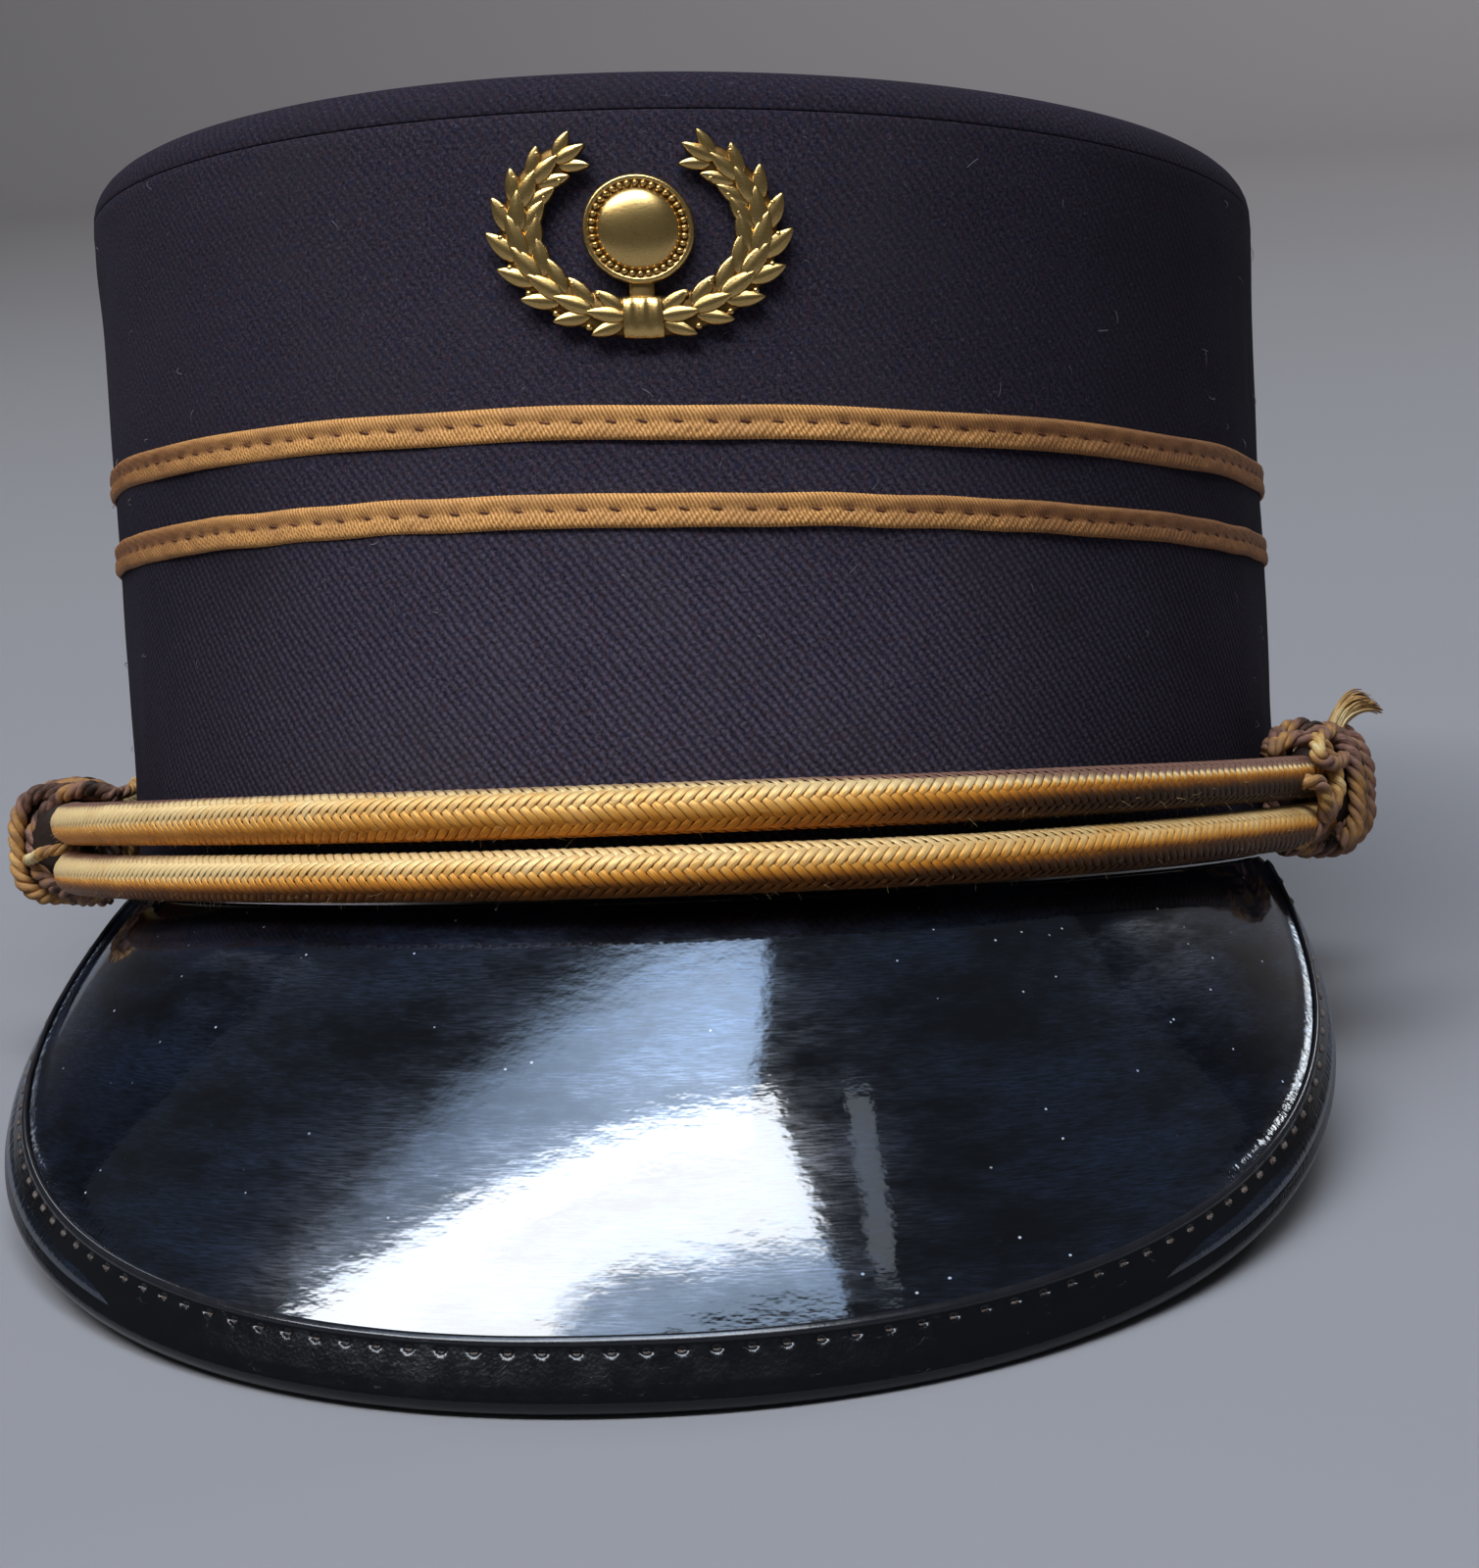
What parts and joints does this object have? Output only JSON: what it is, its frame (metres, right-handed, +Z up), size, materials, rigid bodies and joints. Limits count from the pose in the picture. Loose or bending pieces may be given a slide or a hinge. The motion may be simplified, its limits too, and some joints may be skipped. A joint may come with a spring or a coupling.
{
  "type": "kepi",
  "caption": "Uniform kepi: dark wool crown with flat top and gold braid stripes, glossy bound peak, doubled gold chin cord with wound side knots, gilt wreath badge.",
  "frame": {"origin": "middle of the bounding box, on the surface that the kepi rests on", "axes": "+Z up; -Y to the front, where the peak is; +X to the wearer's left, which is the viewer's right"},
  "size_m": [0.1988, 0.2634, 0.1417],
  "materials": {
    "crown_cloth": "dark navy wool twill, matt, with lint",
    "stripe_braid": "flat woven tan-gold braid",
    "cord_braid": "gold braided cord, tarnished underneath",
    "knot_cord": "tarnished gold cord, wound",
    "peak_leather": "black patent leather, high gloss",
    "binding_leather": "black stitched leather binding, semi-gloss",
    "button_gilt": "gilt, plain",
    "badge_gilt": "gilt brass, polished relief"
  },
  "bodies": {
    "root": {"crown_side": "crown_cloth", "crown_top": "crown_cloth", "stripe_upper": "stripe_braid", "stripe_lower": "stripe_braid", "peak": "peak_leather", "peak_binding": "binding_leather", "chin_cord": "cord_braid", "knot_left": "knot_cord", "knot_right": "knot_cord", "knot_tail": "knot_cord", "side_button_left": "button_gilt", "side_button_right": "button_gilt", "badge": "badge_gilt"}
  },
  "joints": []
}
